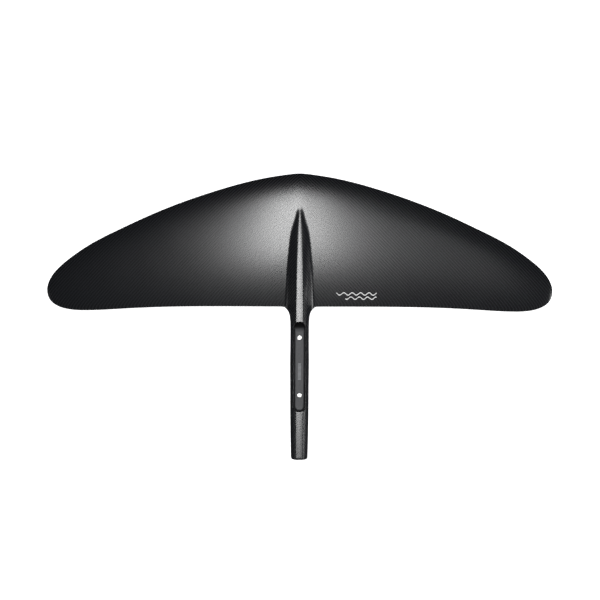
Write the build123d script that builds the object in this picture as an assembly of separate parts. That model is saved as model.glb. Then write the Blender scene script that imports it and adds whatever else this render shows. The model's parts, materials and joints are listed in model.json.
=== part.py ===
from build123d import *

import math
import os

import numpy as np

# Front wing of a hydrofoil in one piece with its fuselage: moulded carbon skins over foam and a spar.
# Millimetres. The origin is on the floor of the mast socket, midway between the two mast bolt holes;
# +Z points up at the mast, +Y forwards to the leading edge and +X to the right wing tip.

# ---------------------------------------------------------------- wing
HALF_SPAN = 426.8
ROOT_CHORD = 222.6
TRAILING_EDGE_Y = 99.9
PARTING_Z = 4.0  # level at which the two halves of the mould meet, at the fuselage
TIP_DROOP = 30.0  # how far the tips hang below the root
DROOP_POWER = 2.2
FLAT_CENTRE = 30.0  # half width of the stretch that does not droop
THICKNESS_RATIO = 0.11
CAMBER_RATIO = 0.022
CAMBER_AT = 0.4
THICKEST = 0.3  # share of the chord at which a section is thickest
TRAILING_EDGE_THICKNESS = 1.2
TIP_STATION = 0.9995  # share of the half span at which the tip is closed
SKIN = 1.8

# The outline of a half wing, as shares of the half span and of the root chord.
LEADING_EDGE = [
    (0.0, 1.0), (0.0465, 0.9925), (0.1405, 0.9635), (0.281, 0.8965), (0.4215, 0.81), (0.563, 0.7065),
    (0.705, 0.5835), (0.8245, 0.468), (0.909, 0.36), (0.9575, 0.281), (0.9865, 0.21), (1.0, 0.1235),
]
TRAILING_EDGE = [
    (1.0, 0.1235), (0.9885, 0.048), (0.9575, 0.001), (0.909, -0.0255), (0.8365, -0.0325),
    (0.705, -0.0205), (0.563, -0.007), (0.396, 0.0), (0.0, 0.0),
]

# ---------------------------------------------------------------- fuselage
FUSELAGE_HALF_WIDTH = 15.5
FUSELAGE_BOTTOM = -12.0
FUSELAGE_WALL = 2.0
KEEL_HOLLOW_Y = 215.0
TAIL_Y = -154.0
NOSE_Y = 284.0
SHOULDER_R = 3.0
BELLY_FLAT = 9.0
# Above the parting line: y, half width of the flat top, half width and height of the bend in the
# side, half width and height of the shoulder, height of the top.
UPPER_STATIONS = [
    (-154.0, 5.2, 9.0, 18.0, 11.2, 8.8, 23.0), (-152.8, 5.8, 10.4, 18.3, 12.9, 9.0, 23.8),
    (-150.0, 6.1, 11.1, 18.5, 13.6, 9.0, 24.0), (-120.0, 6.4, 11.8, 18.5, 14.5, 9.0, 24.0),
    (-85.0, 6.5, 12.1, 18.5, 15.1, 9.0, 24.0), (-40.0, 6.5, 12.3, 18.5, 15.4, 9.0, 24.0),
    (30.0, 6.5, 12.4, 18.5, 15.5, 9.0, 24.0), (75.0, 6.5, 12.5, 18.5, 15.7, 9.0, 24.1),
    (100.0, 6.5, 13.0, 18.3, 17.2, 8.8, 24.4), (128.0, 6.6, 13.8, 17.8, 20.4, 8.4, 24.8),
    (161.0, 6.6, 14.0, 19.0, 20.0, 11.5, 25.0), (195.0, 6.5, 12.6, 20.5, 17.0, 14.5, 25.0),
    (228.0, 5.2, 9.2, 21.5, 12.6, 16.5, 24.6), (253.0, 2.8, 5.0, 20.8, 7.0, 16.5, 22.9),
    (270.0, 1.2, 2.6, 17.5, 4.0, 14.0, 19.5), (NOSE_Y, 0.6, 1.6, 12.2, 2.4, 9.5, 14.0),
]
# Below it: y, half width, height of the bottom.
LOWER_STATIONS = [
    (-154.0, 11.2, -10.8), (-152.8, 12.9, -11.6), (-150.0, 13.6, -12.0), (-120.0, 14.5, -12.0),
    (-85.0, 15.1, -12.0), (-40.0, 15.4, -12.0), (30.0, 15.5, -12.0), (75.0, 15.7, -12.0),
    (100.0, 16.2, -12.0), (128.0, 16.2, -11.6), (161.0, 15.2, -10.6), (195.0, 13.2, -9.0),
    (228.0, 10.4, -6.8), (253.0, 7.4, -4.4), (270.0, 5.0, -2.4), (NOSE_Y, 3.0, 0.0),
]
FLARE_WIDTH = 15.0  # elliptical flare between the trailing edge and the side of the fuselage
FLARE_LENGTH = 21.0

# ---------------------------------------------------------------- mast socket
SOCKET_RIM = 24.0
SOCKET_LENGTH = 149.0
SOCKET_WIDTH = 20.0
SOCKET_FLOOR_LENGTH = 146.0
SOCKET_FLOOR_WIDTH = 15.0
SOCKET_WALL = 2.0
TOE_Y = 56.0  # ahead of this the socket's floor sweeps up to its front wall
TOE_R = 20.0
SOCKET_FLOOR = 3.0
MAST_BOLT_SPACING = 96.5
FLOOR_HOLE_R = 3.5
BASE_PLATE = 4.0
BASE_PLATE_HALF_LENGTH = 62.0
FERRULE_BORE_R = 3.3
FERRULE_R = 5.5
FERRULE_HEAD_R = 7.5
FERRULE_HEAD = 3.5
COUNTERSINK_R = 6.4
BULKHEAD_FACE = 78.5
BULKHEAD = 7.0

# ---------------------------------------------------------------- seat of the rear stabiliser
SEAT_Z = -11.2
SEAT_FRONT_Y = -98.0
INSERT_CENTRE_Y = -126.0
INSERT_SPACING = 34.0
INSERT_R = 4.5
INSERT_BORE_R = 2.5
INSERT_LENGTH = 11.0

# ---------------------------------------------------------------- inside the wing
SPAR_AT = 0.36  # share of the chord behind the leading edge
SPAR_WEB = 8.0
SPAR_CAP = 1.5
SPAR_CAP_WIDTH = 36.0
SPAR_END_X = 334.0
LEADING_STRIP = 0.07  # share of the chord filled by the strip behind the leading edge
TRAILING_STRIP = 0.80  # share at which the strip along the trailing edge starts
CORE_EDGE = 0.7  # half thickness at which the cores stop short of the edges
FOAM_END_X = 362.0
CORE_END_X = 404.0
CENTRE_HALF_WIDTH = 20.0  # wider than the hollow under the ridge
BIG = 500.0


def edge_table(points, start, end):
    """The x and y of many places along one edge of the outline."""
    curve = Spline(
        *[(across * HALF_SPAN, TRAILING_EDGE_Y + along * ROOT_CHORD) for across, along in points],
        tangents=(start, end),
    )
    places = sorted((place.X, place.Y) for place in [curve @ (i / 400) for i in range(401)])
    return [x for x, _ in places], [y for _, y in places]


LEADING_TABLE = edge_table(LEADING_EDGE, (1, 0), (0, -1))
TRAILING_TABLE = edge_table(TRAILING_EDGE, (0, -1), (-1, 0))


def leading_y(x):
    return float(np.interp(abs(x), *LEADING_TABLE))


def trailing_y(x):
    return float(np.interp(abs(x), *TRAILING_TABLE))


def chord_y(x, share):
    return leading_y(x) - share * (leading_y(x) - trailing_y(x))


def chord_z(x):
    out = max(0.0, (abs(x) - FLAT_CENTRE) / (HALF_SPAN - FLAT_CENTRE))
    return PARTING_Z - TIP_DROOP * out**DROOP_POWER


def half_thickness(share, chord):
    shape = (
        0.2969 * math.sqrt(share) - 0.126 * share - 0.3516 * share**2
        + 0.2843 * share**3 - 0.1036 * share**4
    )
    return 5 * THICKNESS_RATIO * chord * shape + TRAILING_EDGE_THICKNESS / 2 * share


def camber(share, chord):
    if share < CAMBER_AT:
        return CAMBER_RATIO * chord / CAMBER_AT**2 * (2 * CAMBER_AT * share - share**2)
    behind = 1 - 2 * CAMBER_AT + 2 * CAMBER_AT * share - share**2
    return CAMBER_RATIO * chord / (1 - CAMBER_AT) ** 2 * behind


def surface_point(x, share, side, inset=0.0):
    """A point on the section at x; side is 1 for the upper surface and -1 for the lower one."""
    chord = leading_y(x) - trailing_y(x)
    z = chord_z(x) + camber(share, chord) + side * (half_thickness(share, chord) - inset)
    return (x, chord_y(x, share), z)


def spread(first, last, count):
    """Shares of the chord that crowd together at both ends."""
    return [
        first + (last - first) * 0.5 * (1 - math.cos(math.pi * i / count)) for i in range(count + 1)
    ]


def outer_section(x):
    shares = spread(0.0, 1.0, 14)
    over = [surface_point(x, share, 1) for share in reversed(shares)]
    under = [surface_point(x, share, -1) for share in shares[1:]]
    skin = Spline(*over, *under)
    return Wire([skin, Line(skin @ 1, skin @ 0)])


def share_where(x, level, thin):
    """The share of the chord, between a thin edge and the thickest place, with this half thickness."""
    chord = leading_y(x) - trailing_y(x)
    thick = THICKEST
    for _ in range(40):
        middle = (thin + thick) / 2
        if half_thickness(middle, chord) > level:
            thick = middle
        else:
            thin = middle
    return thick


def inner_section(x, inset):
    """The section inside the skins; it stops where the room between them runs out."""
    shares = spread(share_where(x, inset + CORE_EDGE, 0.0), share_where(x, inset + CORE_EDGE, 1.0), 10)
    over = Spline(*[surface_point(x, share, 1, inset) for share in shares])
    under = Spline(*[surface_point(x, share, -1, inset) for share in reversed(shares)])
    return Wire([over, Line(over @ 1, under @ 0), under, Line(under @ 1, over @ 0)])


def span_stations(end):
    half = [0.0, FLAT_CENTRE / 2, FLAT_CENTRE]
    half += [HALF_SPAN * math.sin(math.pi / 2 * k / 16) for k in range(2, 16)]
    half = [x for x in half if x < end - 1] + [end]
    return [-x for x in reversed(half[1:])] + half


def wing_outer():
    return Solid.make_loft([outer_section(x) for x in span_stations(HALF_SPAN * TIP_STATION)])


def wing_inner(inset, end):
    return Solid.make_loft([inner_section(x, inset) for x in span_stations(end)])


def section_wire(y, right, radius):
    """A closed section across the fuselage at y, from its right half listed away from the parting line."""
    corners = right + [(-x, z) for x, z in reversed(right)]
    flat = Plane(origin=(0, y, 0), x_dir=(1, 0, 0), z_dir=(0, -1, 0))
    side = flat * FilletPolyline(*corners, radius=radius)
    return Wire([*side.edges(), Line(side @ 1, side @ 0)])


def corner_radius(width):
    return min(SHOULDER_R, 0.2 * width)


def hull_upper(inset):
    sections = []
    for y, flat, bend, bend_z, width, shoulder_z, top in UPPER_STATIONS:
        width = max(width - inset, 1.2)
        bend = max(bend - inset * 0.9, width * 0.7)
        flat = max(flat - inset * 0.4, width * 0.35)
        shoulder = (width, shoulder_z - inset * 0.3)
        right = [(width, PARTING_Z), shoulder, (bend, bend_z - inset * 0.7), (flat, top - inset)]
        sections.append(section_wire(y, right, corner_radius(width)))
    return Solid.make_loft(sections)


def hull_lower(inset):
    sections = []
    for y, width, bottom in LOWER_STATIONS:
        width = max(width - inset, 1.2)
        deep = max(PARTING_Z - bottom - inset, 1.5)
        belly = BELLY_FLAT / FUSELAGE_HALF_WIDTH * width
        right = [(width, PARTING_Z), (width, PARTING_Z - 0.3 * deep), (0.88 * width, PARTING_Z - 0.68 * deep)]
        right += [(belly, PARTING_Z - deep)]
        sections.append(section_wire(y, right, corner_radius(width)))
    return Solid.make_loft(sections)


def hollow():
    """The room inside the fuselage; the front of its keel is solid laminate."""
    upper = meet(hull_upper(FUSELAGE_WALL), block(-BIG, BIG, TAIL_Y + FUSELAGE_WALL, BIG))
    lower = meet(hull_lower(FUSELAGE_WALL), block(-BIG, BIG, TAIL_Y + FUSELAGE_WALL, KEEL_HOLLOW_Y))
    return one_shape(upper + lower)


def root_flares():
    """Webs that round the plan corners between the trailing edge and the fuselage."""
    inner = FUSELAGE_HALF_WIDTH - 1.5
    outer = FUSELAGE_HALF_WIDTH + FLARE_WIDTH
    low = TRAILING_EDGE_Y - FLARE_LENGTH
    high = TRAILING_EDGE_Y + 6.0
    corner = Wire([
        Line((inner, high), (outer, high)),
        Line((outer, high), (outer, TRAILING_EDGE_Y)),
        EllipticalCenterArc((outer, low), FLARE_WIDTH, FLARE_LENGTH, 90, arc_size=90),
        Line((FUSELAGE_HALF_WIDTH, low), (inner, low)),
        Line((inner, low), (inner, high)),
    ])
    face = Face(corner).moved(Location((0, 0, PARTING_Z - TRAILING_EDGE_THICKNESS / 2)))
    web = Solid.extrude(face, Vector(0, 0, TRAILING_EDGE_THICKNESS))
    return web + mirror(web, Plane.YZ)


# ---------------------------------------------------------------- cutters
def block(x0, x1, y0, y1, z0=-BIG / 2, z1=BIG / 2):
    return Solid.make_box(x1 - x0, y1 - y0, z1 - z0, Plane((x0, y0, z0)))


def upper_side():
    """Everything above the drooping surface on which the mould parts."""
    end = HALF_SPAN + 20
    right = [(x, 0, chord_z(x)) for x in np.linspace(FLAT_CENTRE, end, 24)]
    left = [(-x, y, z) for x, y, z in reversed(right)]
    line = [Spline(*left), Line(left[-1], right[0]), Spline(*right)]
    high = 100.0
    frame = [Line(right[-1], (end, 0, high)), Line((end, 0, high), (-end, 0, high))]
    frame += [Line((-end, 0, high), left[0])]
    face = Face(Wire([*line, *frame])).moved(Location((0, -BIG / 2, 0)))
    return Solid.extrude(face, Vector(0, BIG * 1.5, 0))


def plan_region(front, back):
    """Everything between two lines in plan; each gives y for x, out to the end of the cores."""
    end = CORE_END_X + 6
    xs = [float(x) for x in np.linspace(-end, end, 33)]
    ahead = Spline(*[(x, front(x), -BIG / 2) for x in xs])
    behind = Spline(*[(x, back(x), -BIG / 2) for x in reversed(xs)])
    plan = Face(Wire([ahead, Line(ahead @ 1, behind @ 0), behind, Line(behind @ 1, ahead @ 0)]))
    return Solid.extrude(plan, Vector(0, 0, BIG))


def socket_well(grow, bottom, top):
    """The drafted well of the mast socket; a liner's wall can be added all round."""
    outlines = []
    for z in (bottom, top):
        share = z / SOCKET_RIM
        width = SOCKET_FLOOR_WIDTH + (SOCKET_WIDTH - SOCKET_FLOOR_WIDTH) * share + 2 * grow
        length = SOCKET_FLOOR_LENGTH + (SOCKET_LENGTH - SOCKET_FLOOR_LENGTH) * share + 2 * grow
        outlines.append(Plane((0, 0, z)) * SlotOverall(length, width, rotation=90))
    return loft([outline.face() for outline in outlines], ruled=True)


def toe():
    """What the swept front of the socket's floor leaves standing in the well."""
    front = block(-SOCKET_WIDTH, SOCKET_WIDTH, TOE_Y, TOE_Y + TOE_R - 1, -1, TOE_R / 2)
    axis = Plane((-2 * SOCKET_WIDTH, TOE_Y, TOE_R - 0.02), z_dir=(1, 0, 0))
    return front - Solid.make_cylinder(TOE_R, 4 * SOCKET_WIDTH, axis)


def standing(radius, bottom, top):
    return Solid.make_cylinder(radius, top - bottom, Plane((0, 0, bottom)))


def at_mast_bolts(shape):
    half = MAST_BOLT_SPACING / 2
    return shape.moved(Location((0, -half, 0))) + shape.moved(Location((0, half, 0)))


def at_inserts(shape):
    half = INSERT_SPACING / 2
    front = shape.moved(Location((0, INSERT_CENTRE_Y + half, 0)))
    return front + shape.moved(Location((0, INSERT_CENTRE_Y - half, 0)))


# ---------------------------------------------------------------- pieces
def ferrules():
    """Turned ferrules, their heads flush with the belly and countersunk for the bolts."""
    head = standing(FERRULE_HEAD_R, FUSELAGE_BOTTOM, FUSELAGE_BOTTOM + FERRULE_HEAD)
    one = standing(FERRULE_R, FUSELAGE_BOTTOM, -SOCKET_FLOOR) + head
    sink = Solid.make_cone(
        COUNTERSINK_R, FERRULE_BORE_R, COUNTERSINK_R - FERRULE_BORE_R, Plane((0, 0, FUSELAGE_BOTTOM))
    )
    return at_mast_bolts(one - standing(FERRULE_BORE_R, -BIG / 2, BIG / 2) - sink)


def solid_ferrules():
    head = standing(FERRULE_HEAD_R, FUSELAGE_BOTTOM - 5, FUSELAGE_BOTTOM + FERRULE_HEAD)
    return at_mast_bolts(standing(FERRULE_R, FUSELAGE_BOTTOM - 5, -SOCKET_FLOOR) + head)


def inserts():
    one = standing(INSERT_R, SEAT_Z, SEAT_Z + INSERT_LENGTH)
    return at_inserts(one - standing(INSERT_BORE_R, -BIG / 2, BIG / 2))


def one_shape(found):
    """The solids of a result as one shape."""
    items = found if isinstance(found, list) else [found]
    solids = [solid for item in items for solid in item.solids()]
    return solids[0] if len(solids) == 1 else Compound(solids)


def meet(shape, *tools):
    for tool in tools:
        shape = one_shape(shape.intersect(tool))
    return shape


def cut(shape, *tools):
    for tool in tools:
        shape = one_shape(shape - tool)
    return shape


def across(share, offset=0.0):
    """A line in plan that keeps to one share of the chord."""
    return lambda x: chord_y(x, share) + offset


def spar(core, within_caps, above):
    length = block(-SPAR_END_X, SPAR_END_X, -BIG, BIG)
    half_cap = SPAR_CAP_WIDTH / 2
    cap_plan = plan_region(across(SPAR_AT, half_cap), across(SPAR_AT, -half_cap))
    web_plan = plan_region(across(SPAR_AT, SPAR_WEB / 2), across(SPAR_AT, -SPAR_WEB / 2))
    caps = meet(cut(core, within_caps), length, cap_plan)
    return {
        "spar_cap_upper": meet(caps, above),
        "spar_cap_lower": cut(caps, above),
        "spar_web": meet(within_caps, length, web_plan),
    }


def wing_fillings(room):
    """What fills the wing on both sides of the fuselage, from the leading edge to the trailing one."""
    leading = plan_region(across(0.0, 60.0), across(LEADING_STRIP))
    front = plan_region(across(LEADING_STRIP), across(SPAR_AT))
    rear = plan_region(across(SPAR_AT), across(TRAILING_STRIP))
    trailing = plan_region(across(TRAILING_STRIP), across(1.0, -60.0))
    pieces = {}
    for side, sign in (("left", -1), ("right", 1)):
        near, far = sorted((sign * CENTRE_HALF_WIDTH, sign * FOAM_END_X))
        half = meet(room, block(near, far, -BIG, BIG))
        pieces["leading_strip_" + side] = meet(half, leading)
        pieces["core_front_" + side] = meet(half, front)
        pieces["core_rear_" + side] = meet(half, rear)
        pieces["trailing_strip_" + side] = meet(half, trailing)
        near, far = sorted((sign * FOAM_END_X, sign * BIG))
        pieces["tip_block_" + side] = meet(room, block(near, far, -BIG, BIG))
    return pieces


def fuselage_fillings(room, tub, ferrule_room, insert_room):
    """What fills the fuselage, from the nose of its ridge back to the tail."""
    middle = meet(room, block(-CENTRE_HALF_WIDTH, CENTRE_HALF_WIDTH, -BIG, BIG))
    ahead = plan_region(across(0.0, 60.0), across(SPAR_AT))
    face, back = BULKHEAD_FACE, BULKHEAD_FACE + BULKHEAD
    reach = BASE_PLATE_HALF_LENGTH
    plate_room = block(-BIG, BIG, -reach, reach, -SOCKET_FLOOR - BASE_PLATE, -SOCKET_FLOOR)
    around = cut(meet(middle, block(-BIG, BIG, -face, face)), tub, plate_room, ferrule_room)
    forward = meet(middle, block(-BIG, BIG, back, BIG))
    return {
        "nose_filler": meet(forward, ahead),
        "fairing_core": cut(forward, ahead),
        "bulkhead_front": meet(middle, block(-BIG, BIG, face, back)),
        "socket_base_plate": cut(meet(middle, plate_room), ferrule_room),
        "side_packer_left": meet(around, block(-BIG, 0, -BIG, BIG)),
        "side_packer_right": meet(around, block(0, BIG, -BIG, BIG)),
        "bulkhead_rear": meet(middle, block(-BIG, BIG, -back, -face)),
        "tail_block": cut(meet(middle, block(-BIG, BIG, -BIG, -back)), insert_room),
    }


def make_pieces():
    outer = one_shape(wing_outer() + hull_upper(0.0) + hull_lower(0.0) + root_flares())
    outer = cut(outer, block(-BIG, BIG, TAIL_Y - 20, SEAT_FRONT_Y, -BIG / 2, SEAT_Z))
    core = wing_inner(SKIN, CORE_END_X)
    within_caps = wing_inner(SKIN + SPAR_CAP, FOAM_END_X)
    bay = hollow()
    inside = one_shape(core + bay)
    above = upper_side()

    well = cut(socket_well(0.0, 0.0, SOCKET_RIM + 6), toe())
    tub = socket_well(SOCKET_WALL, -SOCKET_FLOOR, SOCKET_RIM + 6)
    bolts = at_mast_bolts(standing(FLOOR_HOLE_R, -BIG / 2, BIG / 2))
    ferrule_room = solid_ferrules()
    insert_room = at_inserts(standing(INSERT_R, SEAT_Z - 5, SEAT_Z + INSERT_LENGTH))

    pieces = {
        "upper_shell": cut(meet(outer, above), bay, core, tub),
        "lower_shell": cut(outer, above, bay, core, tub, ferrule_room, insert_room),
        "socket_liner": cut(meet(tub, outer), well, bolts),
        "mast_bolt_ferrules": ferrules(),
        "stabiliser_inserts": inserts(),
    }
    pieces.update(spar(core, within_caps, above))
    room = cut(inside, pieces["spar_cap_upper"], pieces["spar_cap_lower"], pieces["spar_web"])
    pieces.update(wing_fillings(room))
    pieces.update(fuselage_fillings(room, tub, ferrule_room, insert_room))
    return pieces


os.makedirs("parts", exist_ok=True)
for name, shape in make_pieces().items():
    shape.label = name
    export_step(shape, "parts/" + name + ".step")
    print(name, len(shape.solids()), round(shape.volume / 1000, 2), "cm3", shape.is_valid)
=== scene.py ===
# %% [markdown]
# # A carbon hydrofoil wing
# The real object is one carbon moulding: a front wing with a short fuselage behind it. A mast bolts
# into the long socket in the fuselage. The hidden pieces (foam, spar, ferrules) come ready shaped from
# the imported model. What is made here is the two outer skins, the socket's tub, the printed marks and
# every finish.

# %% Load the frame
import json
import math

import bmesh
import bpy
import numpy as np
from mathutils import Matrix, Vector


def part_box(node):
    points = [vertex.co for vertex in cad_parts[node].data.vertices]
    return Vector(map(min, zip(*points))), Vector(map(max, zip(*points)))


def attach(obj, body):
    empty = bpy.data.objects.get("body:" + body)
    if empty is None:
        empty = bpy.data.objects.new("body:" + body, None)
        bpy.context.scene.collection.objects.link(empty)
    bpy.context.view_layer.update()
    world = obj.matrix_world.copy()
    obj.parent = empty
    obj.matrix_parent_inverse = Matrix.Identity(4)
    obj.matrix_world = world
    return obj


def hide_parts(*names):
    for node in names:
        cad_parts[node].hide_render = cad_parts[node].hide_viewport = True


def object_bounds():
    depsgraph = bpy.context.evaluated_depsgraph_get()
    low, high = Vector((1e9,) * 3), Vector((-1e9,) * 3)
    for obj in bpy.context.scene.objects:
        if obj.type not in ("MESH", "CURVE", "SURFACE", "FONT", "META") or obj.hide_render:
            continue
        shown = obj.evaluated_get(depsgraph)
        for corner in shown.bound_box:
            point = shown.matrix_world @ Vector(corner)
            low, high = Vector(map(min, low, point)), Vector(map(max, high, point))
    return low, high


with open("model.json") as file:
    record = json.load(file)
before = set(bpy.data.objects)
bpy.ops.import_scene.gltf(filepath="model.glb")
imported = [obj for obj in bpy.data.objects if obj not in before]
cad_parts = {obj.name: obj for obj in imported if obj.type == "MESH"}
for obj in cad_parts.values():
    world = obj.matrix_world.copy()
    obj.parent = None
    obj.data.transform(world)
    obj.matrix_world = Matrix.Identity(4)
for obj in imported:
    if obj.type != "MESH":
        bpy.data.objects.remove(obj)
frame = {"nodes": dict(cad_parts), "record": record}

CAD_BOX = [list(corner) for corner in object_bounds()]
MM = 0.001
print("box of the packed model, mm:", [[round(value / MM, 1) for value in corner] for corner in CAD_BOX])

# %% [markdown]
# ## Small helpers
# Colours are written as sRGB hex values and turned linear by one function. One function adds a shader
# node with its settings and links, so that each material below reads as a recipe.

# %% Colours and nodes
def linear(hex_colour):
    """Linear RGBA of an sRGB hex colour."""
    parts = [int(hex_colour[i:i + 2], 16) / 255 for i in (1, 3, 5)]
    return [c / 12.92 if c <= 0.04045 else ((c + 0.055) / 1.055) ** 2.4 for c in parts] + [1.0]


def add(tree, kind, inputs=None, **settings):
    """Adds a node. Inputs are values or the output sockets of other nodes."""
    node = tree.nodes.new(kind)
    for name, value in settings.items():
        setattr(node, name, value)
    for key, value in (inputs or {}).items():
        if isinstance(value, bpy.types.NodeSocket):
            tree.links.new(value, node.inputs[key])
        else:
            node.inputs[key].default_value = value
    return node


def new_material(name):
    """A material with an empty tree, ready for its recipe."""
    material = bpy.data.materials.new(name)
    material.use_nodes = True
    material.node_tree.nodes.clear()
    return material, material.node_tree


def finish_material(tree, inputs):
    shader = add(tree, "ShaderNodeBsdfPrincipled", inputs)
    add(tree, "ShaderNodeOutputMaterial", {"Surface": shader.outputs[0]})


# %% [markdown]
# ## Camera
# The wing is seen straight from above with its leading edge at the top, through a long lens about
# 2.6 m up.

# %% Camera
VIEW_HEIGHT = 2.6
VIEW_WIDTH = 1.003
VIEW_CENTRE = (0.0005, 0.1111)
VIEW_ROLL = math.radians(0.2)
SENSOR = 36.0
camera_data = bpy.data.cameras.new("camera")
camera_data.sensor_width = SENSOR
camera_data.lens = SENSOR * VIEW_HEIGHT / VIEW_WIDTH
camera_data.clip_end = 100
camera = bpy.data.objects.new("camera", camera_data)
camera.location = (*VIEW_CENTRE, VIEW_HEIGHT)
camera.rotation_euler = (0, 0, VIEW_ROLL)
bpy.context.scene.collection.objects.link(camera)
bpy.context.scene.camera = camera
bpy.context.scene.view_settings.view_transform = "Standard"
print("lens, mm:", round(camera_data.lens, 1))

# %% [markdown]
# ## Table and light
# Satin carbon shows little but the lamps it mirrors. One long narrow lamp hangs over the middle line, so
# a soft bright band runs down the middle and fades towards both tips; a dimmer piece carries on its
# front end. A weak fill on the right evens the wing out, and two low lamps behind catch the sides of the
# fuselage. The white table is kept out of mirror-like rays, which would wash those sides out.

# %% Table and lamps
FLOOR_Z = CAD_BOX[0][2] - 0.002
FLOOR_HALF = 15.0


def soft_box(name, place, aim, size, power):
    data = bpy.data.lights.new(name, "AREA")
    data.shape = "RECTANGLE"
    data.size, data.size_y = size
    data.energy = power
    lamp = bpy.data.objects.new(name, data)
    lamp.location = place
    lamp.rotation_euler = (Vector(aim) - Vector(place)).to_track_quat("-Z", "Y").to_euler()
    bpy.context.scene.collection.objects.link(lamp)


soft_box("key_strip", (-0.05, 0.44, 2.3), (-0.05, 0.44, 0), (0.12, 1.42), 39)
soft_box("key_end", (-0.05, 1.3, 2.3), (-0.05, 1.3, 0), (0.12, 0.3), 3)
soft_box("fill_right", (0.85, 0.2, 2.3), (0.85, 0.2, 0), (1.1, 1.2), 3.5)
soft_box("side_right", (2.3, -0.95, 0.6), (0, -0.05, 0), (1.6, 0.8), 30)
soft_box("side_left", (-2.3, -1.1, 0.6), (0, -0.05, 0), (1.6, 0.8), 6)

floor_material, tree = new_material("matt_white_light_table")
finish_material(tree, {
    "Base Color": linear("#f4f4f4"),
    "Roughness": 0.8,
    "Emission Color": linear("#ffffff"),
    "Emission Strength": 0.9,
})
corners = [(-1, -1), (1, -1), (1, 1), (-1, 1)]
floor_mesh = bpy.data.meshes.new("floor")
floor_mesh.from_pydata([(x * FLOOR_HALF, y * FLOOR_HALF, FLOOR_Z) for x, y in corners], [], [(0, 1, 2, 3)])
floor_mesh.materials.append(floor_material)
floor = bpy.data.objects.new("floor", floor_mesh)
bpy.context.scene.collection.objects.link(floor)
floor.visible_glossy = False
world = bpy.data.worlds.new("dark_room")
world.use_nodes = True
world.node_tree.nodes["Background"].inputs["Color"].default_value = linear("#4a4c50")
world.node_tree.nodes["Background"].inputs["Strength"].default_value = 0.5
bpy.context.scene.world = world

# %% [markdown]
# ## The outline in plan
# The wing is a half moon with a straight rear edge and soft raked tips. A few points give each edge, as
# shares of the half span and of the root chord, and the smoothest curve through them is the edge. That
# curve has no sudden change of bend, so highlights run along the wing without a kink.

# %% Outline
shell_low, shell_high = (np.array(corner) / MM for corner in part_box("upper_shell"))
HALF_SPAN = (shell_high[0] - shell_low[0]) / 2
TAIL_Y = shell_low[1]
NOSE_Y = shell_high[1]
TRAILING_EDGE_Y = 99.9
ROOT_CHORD = NOSE_Y - TRAILING_EDGE_Y
LEADING_EDGE = [
    (0.0, 1.0), (0.0465, 0.9925), (0.1405, 0.9635), (0.281, 0.8965), (0.4215, 0.81), (0.563, 0.7065),
    (0.705, 0.5835), (0.8245, 0.468), (0.909, 0.36), (0.9575, 0.281), (0.9865, 0.21), (1.0, 0.1235),
]
TRAILING_EDGE = [
    (1.0, 0.1235), (0.9885, 0.048), (0.9575, 0.001), (0.909, -0.0255), (0.8365, -0.0325),
    (0.705, -0.0205), (0.563, -0.007), (0.396, 0.0), (0.0, 0.0),
]


def knot_slopes(knots, values, ends=None):
    """Slopes of the smoothest curve through values at the knots; without end slopes it ends straight."""
    gap = np.diff(knots)
    size = len(knots)
    left, right = np.zeros((size, size)), np.zeros_like(values)
    for i in range(1, size - 1):
        left[i, i - 1:i + 2] = 1 / gap[i - 1], 2 / gap[i - 1] + 2 / gap[i], 1 / gap[i]
        right[i] = 3 * (values[i] - values[i - 1]) / gap[i - 1]**2
        right[i] += 3 * (values[i + 1] - values[i]) / gap[i]**2
    if ends:
        left[0, 0] = left[-1, -1] = 1
        right[0], right[-1] = ends
    else:
        left[0, :2], left[-1, -2:] = (2, 1), (1, 2)
        right[0] = 3 * (values[1] - values[0]) / gap[0]
        right[-1] = 3 * (values[-1] - values[-2]) / gap[-1]
    return np.linalg.solve(left, right)


def along_knots(knots, values, slopes, places):
    """The curve's values at the places."""
    places = np.clip(places, knots[0], knots[-1])
    i = np.clip(np.searchsorted(knots, places, side="right") - 1, 0, len(knots) - 2)
    gap = (knots[i + 1] - knots[i])[..., None]
    t = (places - knots[i])[..., None] / gap
    return (
        (2 * t**3 - 3 * t**2 + 1) * values[i] + (t**3 - 2 * t**2 + t) * gap * slopes[i]
        + (3 * t**2 - 2 * t**3) * values[i + 1] + (t**3 - t**2) * gap * slopes[i + 1]
    )


def edge_curve(points, start, end):
    """Finely spaced x and y along one edge, with x rising."""
    places = np.array([(u * HALF_SPAN, TRAILING_EDGE_Y + v * ROOT_CHORD) for u, v in points])
    knots = np.concatenate([[0], np.cumsum(np.linalg.norm(np.diff(places, axis=0), axis=1))])
    slopes = knot_slopes(knots, places, (start, end))
    found = along_knots(knots, places, slopes, np.linspace(0, knots[-1], 4000))
    return found[np.argsort(found[:, 0])].T


LEADING_XY = edge_curve(LEADING_EDGE, (1, 0), (0, -1))
TRAILING_XY = edge_curve(TRAILING_EDGE, (0, -1), (-1, 0))


def leading_y(x):
    return np.interp(np.abs(x), *LEADING_XY)


def trailing_y(x):
    return np.interp(np.abs(x), *TRAILING_XY)


print("half span", round(HALF_SPAN, 1), "root chord", round(ROOT_CHORD, 1))

# %% [markdown]
# ## The wing's section
# A foil section of the four-digit family has a formula for its thickness and one for its bend. The real
# wing is about 11% thick and hangs down at the tips. One function gives the height of the upper or the
# lower surface anywhere in plan, so the mesh can be laid out freely afterwards.

# %% Section
PARTING_Z = 4.0
TIP_DROOP = 30.0
DROOP_POWER = 2.2
FLAT_CENTRE = 30.0
THICKNESS_RATIO = 0.11
CAMBER_RATIO = 0.022
CAMBER_AT = 0.4
EDGE_THICKNESS = 1.2
EDGE_SHARE = 0.03  # of the chord, which limits the rear edge's thickness near the tips
FUSELAGE_HALF_WIDTH = 15.5
WEB_FADE = 6.0  # over this width the thin flare closes against the fuselage


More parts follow.
